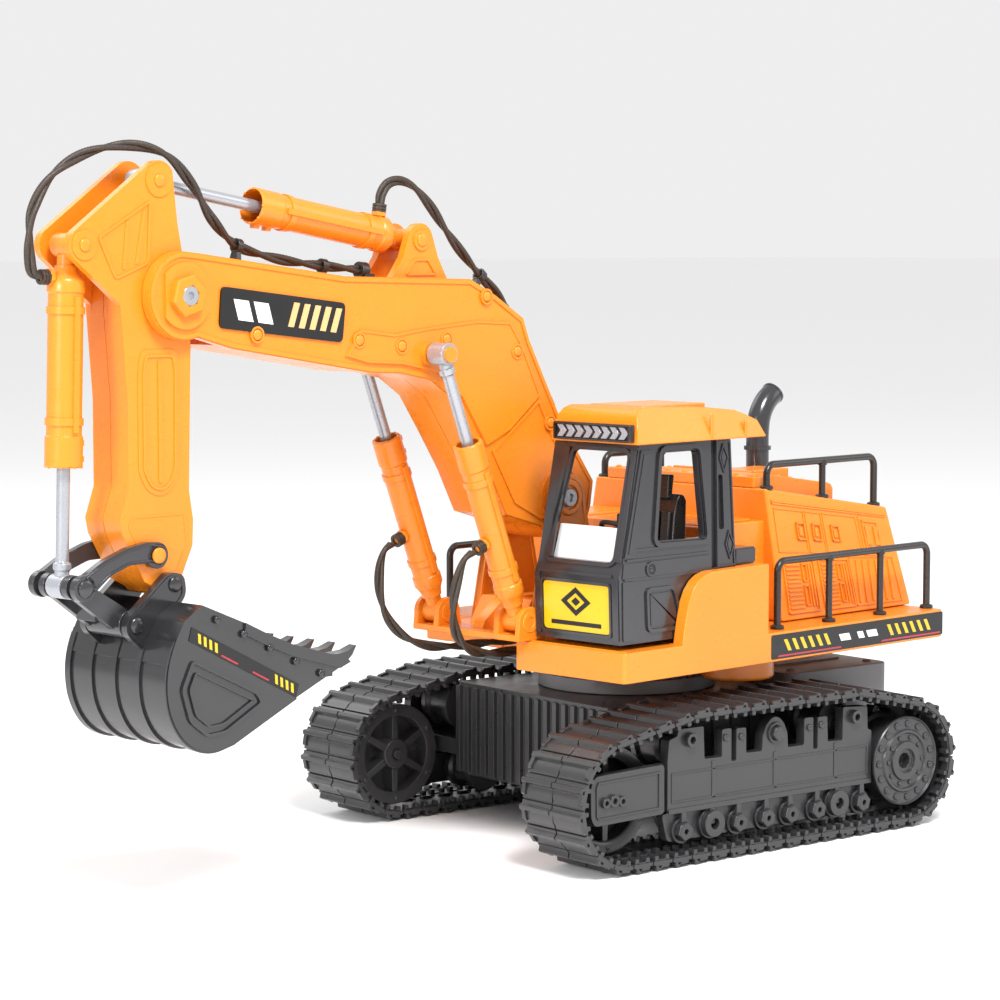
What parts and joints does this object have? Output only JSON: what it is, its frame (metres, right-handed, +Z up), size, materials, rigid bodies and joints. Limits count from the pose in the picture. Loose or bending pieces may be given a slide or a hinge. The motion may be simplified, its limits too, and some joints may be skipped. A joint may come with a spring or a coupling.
{
  "type": "toy excavator",
  "caption": "Toy tracked excavator with turning house, cab, engine hood and a jointed arm with boom, stick and bucket worked by ram cylinders",
  "frame": {"origin": "centre of the bounding box in plan, on the ground plane under the tracks", "axes": "+X is the tracks' forward direction, +Y the machine's left, +Z up. The house, with the arm, rests turned 6 degrees to the left of +X."},
  "size_m": [0.4486, 0.1904, 0.2921],
  "materials": {
    "orange_plastic": "moulded satin, orange all through",
    "dark_grey_plastic": "moulded matt, dark grey",
    "pale_grey_plastic": "moulded matt, mid grey",
    "gunmetal_plastic": "moulded gloss, gunmetal",
    "silver_plastic": "silver paint on plastic",
    "black_plastic": "moulded black",
    "hose_rubber": "soft black tube",
    "board_green": "varnished board"
  },
  "bodies": {
    "undercarriage": {"chassis": "dark_grey_plastic", "battery_cover": "dark_grey_plastic", "battery_pack": "black_plastic", "drive_housing": "pale_grey_plastic", "drive_cover": "dark_grey_plastic", "slew_ring": "pale_grey_plastic", "left_track_frame": "dark_grey_plastic", "right_track_frame": "dark_grey_plastic", "left_track_belt": "dark_grey_plastic", "right_track_belt": "dark_grey_plastic", "left_drive_gearbox": "pale_grey_plastic", "right_drive_gearbox": "pale_grey_plastic"},
    "house": {"deck": "orange_plastic", "slew_gearbox": "orange_plastic", "boom_bracket": "orange_plastic", "boom_pivot_pin": "silver_plastic", "hood": "orange_plastic", "hood_top_cover": "orange_plastic", "exhaust_pipe": "black_plastic", "circuit_board": "board_green", "cab": "gunmetal_plastic", "cab_roof": "orange_plastic", "light_bar": "black_plastic", "cab_interior": "black_plastic", "left_upper_rail": "black_plastic", "right_upper_rail": "black_plastic", "left_lower_rail": "black_plastic", "right_lower_rail": "black_plastic", "left_boom_hose": "hose_rubber", "right_boom_hose": "hose_rubber"},
    "boom": {"boom_left_shell": "orange_plastic", "boom_right_shell": "orange_plastic", "stick_pivot_pin": "silver_plastic", "stick_hose": "hose_rubber", "bucket_hose": "hose_rubber"},
    "stick": {"stick_left_shell": "orange_plastic", "stick_right_shell": "orange_plastic"},
    "bucket": {"bucket": "gunmetal_plastic"},
    "rocker": {"rocker": "gunmetal_plastic"},
    "bucket_link": {"bucket_link": "gunmetal_plastic"},
    "left_boom_cylinder": {"left_boom_cylinder": "orange_plastic"},
    "right_boom_cylinder": {"right_boom_cylinder": "orange_plastic"},
    "left_boom_rod": {"left_boom_rod": "silver_plastic"},
    "right_boom_rod": {"right_boom_rod": "silver_plastic"},
    "stick_cylinder": {"stick_cylinder": "orange_plastic"},
    "stick_rod": {"stick_rod": "silver_plastic"},
    "bucket_cylinder": {"bucket_cylinder": "orange_plastic"},
    "bucket_rod": {"bucket_rod": "silver_plastic"},
    "left_sprocket": {"left_sprocket": "dark_grey_plastic"},
    "left_idler": {"left_idler": "dark_grey_plastic"},
    "left_front_carrier_roller": {"left_front_carrier_roller": "dark_grey_plastic"},
    "left_rear_carrier_roller": {"left_rear_carrier_roller": "dark_grey_plastic"},
    "left_front_road_roller": {"left_front_road_roller": "dark_grey_plastic"},
    "left_rear_road_roller": {"left_rear_road_roller": "dark_grey_plastic"},
    "right_sprocket": {"right_sprocket": "dark_grey_plastic"},
    "right_idler": {"right_idler": "dark_grey_plastic"},
    "right_front_carrier_roller": {"right_front_carrier_roller": "dark_grey_plastic"},
    "right_rear_carrier_roller": {"right_rear_carrier_roller": "dark_grey_plastic"},
    "right_front_road_roller": {"right_front_road_roller": "dark_grey_plastic"},
    "right_rear_road_roller": {"right_rear_road_roller": "dark_grey_plastic"}
  },
  "joints": [
    {"name": "slew", "type": "hinge", "parent": "undercarriage", "child": "house", "pos_m": [-0.09352, 0, 0.07], "axis": [0, 0, 1], "continuous": true},
    {"name": "boom_pivot", "type": "hinge", "parent": "house", "child": "boom", "pos_m": [-0.04128, 0.00046, 0.146], "axis": [0.1045, -0.9945, 0], "range_deg": [-18, 28], "deforming": ["left_boom_hose", "right_boom_hose"]},
    {"name": "stick_pivot", "type": "hinge", "parent": "boom", "child": "stick", "pos_m": [0.16259, 0.02189, 0.234], "axis": [0.1045, -0.9945, 0], "range_deg": [-20, 35], "deforming": ["stick_hose", "bucket_hose"]},
    {"name": "bucket_pivot", "type": "hinge", "parent": "stick", "child": "bucket", "pos_m": [0.16757, 0.02241, 0.1255], "axis": [0.1045, -0.9945, 0], "range_deg": [-30, 40]},
    {"name": "left_boom_cylinder_pivot", "type": "hinge", "parent": "house", "child": "left_boom_cylinder", "pos_m": [-0.00802, 0.02839, 0.097], "axis": [0.1045, -0.9945, 0], "range_deg": [-13.36, 20.51]},
    {"name": "left_boom_rod_pivot", "type": "hinge", "parent": "boom", "child": "left_boom_rod", "pos_m": [0.03514, 0.03293, 0.209], "axis": [0.1045, -0.9945, 0], "range_deg": [-8.49, 5.64]},
    {"name": "right_boom_cylinder_pivot", "type": "hinge", "parent": "house", "child": "right_boom_cylinder", "pos_m": [-0.00294, -0.01994, 0.097], "axis": [0.1045, -0.9945, 0], "range_deg": [-13.36, 20.51]},
    {"name": "right_boom_rod_pivot", "type": "hinge", "parent": "boom", "child": "right_boom_rod", "pos_m": [0.04022, -0.0154, 0.209], "axis": [0.1045, -0.9945, 0], "range_deg": [-8.49, 5.64]},
    {"name": "stick_cylinder_pivot", "type": "hinge", "parent": "boom", "child": "stick_cylinder", "pos_m": [0.0353, 0.00851, 0.2548], "axis": [0.1045, -0.9945, 0], "range_deg": [-1.93, 3]},
    {"name": "stick_rod_pivot", "type": "hinge", "parent": "stick", "child": "stick_rod", "pos_m": [0.17055, 0.02273, 0.277], "axis": [0.1045, -0.9945, 0], "range_deg": [-33, 19.07]},
    {"name": "rocker_pivot", "type": "hinge", "parent": "stick", "child": "rocker", "pos_m": [0.17552, 0.02325, 0.137], "axis": [0.1045, -0.9945, 0], "range_deg": [-24.92, 33.06]},
    {"name": "bucket_link_pivot", "type": "hinge", "parent": "rocker", "child": "bucket_link", "pos_m": [0.20934, 0.0268, 0.127], "axis": [0.1045, -0.9945, 0], "range_deg": [-17.95, 13.59]},
    {"name": "bucket_cylinder_pivot", "type": "hinge", "parent": "stick", "child": "bucket_cylinder", "pos_m": [0.20536, 0.02639, 0.253], "axis": [0.1045, -0.9945, 0], "range_deg": [-2.18, 2.74]},
    {"name": "bucket_rod_pivot", "type": "hinge", "parent": "rocker", "child": "bucket_rod", "pos_m": [0.20934, 0.0268, 0.127], "axis": [0.1045, -0.9945, 0], "range_deg": [-30.74, 23.18]},
    {"name": "left_sprocket_spin", "type": "hinge", "parent": "undercarriage", "child": "left_sprocket", "pos_m": [-0.17502, 0.07, 0.0285], "axis": [0, 1, 0], "continuous": true},
    {"name": "left_idler_spin", "type": "hinge", "parent": "undercarriage", "child": "left_idler", "pos_m": [-0.01302, 0.071, 0.0285], "axis": [0, 1, 0], "continuous": true},
    {"name": "left_front_carrier_roller_spin", "type": "hinge", "parent": "undercarriage", "child": "left_front_carrier_roller", "pos_m": [-0.05152, 0.071, 0.0469], "axis": [0, 1, 0], "continuous": true},
    {"name": "left_rear_carrier_roller_spin", "type": "hinge", "parent": "undercarriage", "child": "left_rear_carrier_roller", "pos_m": [-0.14352, 0.071, 0.0469], "axis": [0, 1, 0], "continuous": true},
    {"name": "left_front_road_roller_spin", "type": "hinge", "parent": "undercarriage", "child": "left_front_road_roller", "pos_m": [-0.06312, 0.071, 0.0158], "axis": [0, 1, 0], "continuous": true},
    {"name": "left_rear_road_roller_spin", "type": "hinge", "parent": "undercarriage", "child": "left_rear_road_roller", "pos_m": [-0.13652, 0.071, 0.0158], "axis": [0, 1, 0], "continuous": true},
    {"name": "right_sprocket_spin", "type": "hinge", "parent": "undercarriage", "child": "right_sprocket", "pos_m": [-0.17502, -0.07, 0.0285], "axis": [0, 1, 0], "continuous": true},
    {"name": "right_idler_spin", "type": "hinge", "parent": "undercarriage", "child": "right_idler", "pos_m": [-0.01302, -0.071, 0.0285], "axis": [0, 1, 0], "continuous": true},
    {"name": "right_front_carrier_roller_spin", "type": "hinge", "parent": "undercarriage", "child": "right_front_carrier_roller", "pos_m": [-0.05152, -0.071, 0.0469], "axis": [0, 1, 0], "continuous": true},
    {"name": "right_rear_carrier_roller_spin", "type": "hinge", "parent": "undercarriage", "child": "right_rear_carrier_roller", "pos_m": [-0.14352, -0.071, 0.0469], "axis": [0, 1, 0], "continuous": true},
    {"name": "right_front_road_roller_spin", "type": "hinge", "parent": "undercarriage", "child": "right_front_road_roller", "pos_m": [-0.06312, -0.071, 0.0158], "axis": [0, 1, 0], "continuous": true},
    {"name": "right_rear_road_roller_spin", "type": "hinge", "parent": "undercarriage", "child": "right_rear_road_roller", "pos_m": [-0.13652, -0.071, 0.0158], "axis": [0, 1, 0], "continuous": true}
  ],
  "couplings": [
    {"joint": "left_boom_cylinder_pivot", "follows": "boom_pivot", "ratio": 0.7147},
    {"joint": "left_boom_rod_pivot", "follows": "boom_pivot", "ratio": -0.2853},
    {"joint": "right_boom_cylinder_pivot", "follows": "boom_pivot", "ratio": 0.7147},
    {"joint": "right_boom_rod_pivot", "follows": "boom_pivot", "ratio": -0.2853},
    {"joint": "stick_cylinder_pivot", "follows": "stick_pivot", "ratio": 0.0713},
    {"joint": "stick_rod_pivot", "follows": "stick_pivot", "ratio": -0.9287},
    {"joint": "rocker_pivot", "follows": "bucket_pivot", "ratio": 0.8141},
    {"joint": "bucket_link_pivot", "follows": "bucket_pivot", "ratio": -0.4362},
    {"joint": "bucket_cylinder_pivot", "follows": "bucket_pivot", "ratio": 0.0561},
    {"joint": "bucket_rod_pivot", "follows": "bucket_pivot", "ratio": -0.7559},
    {"joint": "left_idler_spin", "follows": "left_sprocket_spin", "ratio": 1},
    {"joint": "left_front_carrier_roller_spin", "follows": "left_sprocket_spin", "ratio": 2.0367},
    {"joint": "left_rear_carrier_roller_spin", "follows": "left_sprocket_spin", "ratio": 2.0367},
    {"joint": "left_front_road_roller_spin", "follows": "left_sprocket_spin", "ratio": 2.3617},
    {"joint": "left_rear_road_roller_spin", "follows": "left_sprocket_spin", "ratio": 2.3617},
    {"joint": "right_idler_spin", "follows": "right_sprocket_spin", "ratio": 1},
    {"joint": "right_front_carrier_roller_spin", "follows": "right_sprocket_spin", "ratio": 2.0367},
    {"joint": "right_rear_carrier_roller_spin", "follows": "right_sprocket_spin", "ratio": 2.0367},
    {"joint": "right_front_road_roller_spin", "follows": "right_sprocket_spin", "ratio": 2.3617},
    {"joint": "right_rear_road_roller_spin", "follows": "right_sprocket_spin", "ratio": 2.3617}
  ]
}
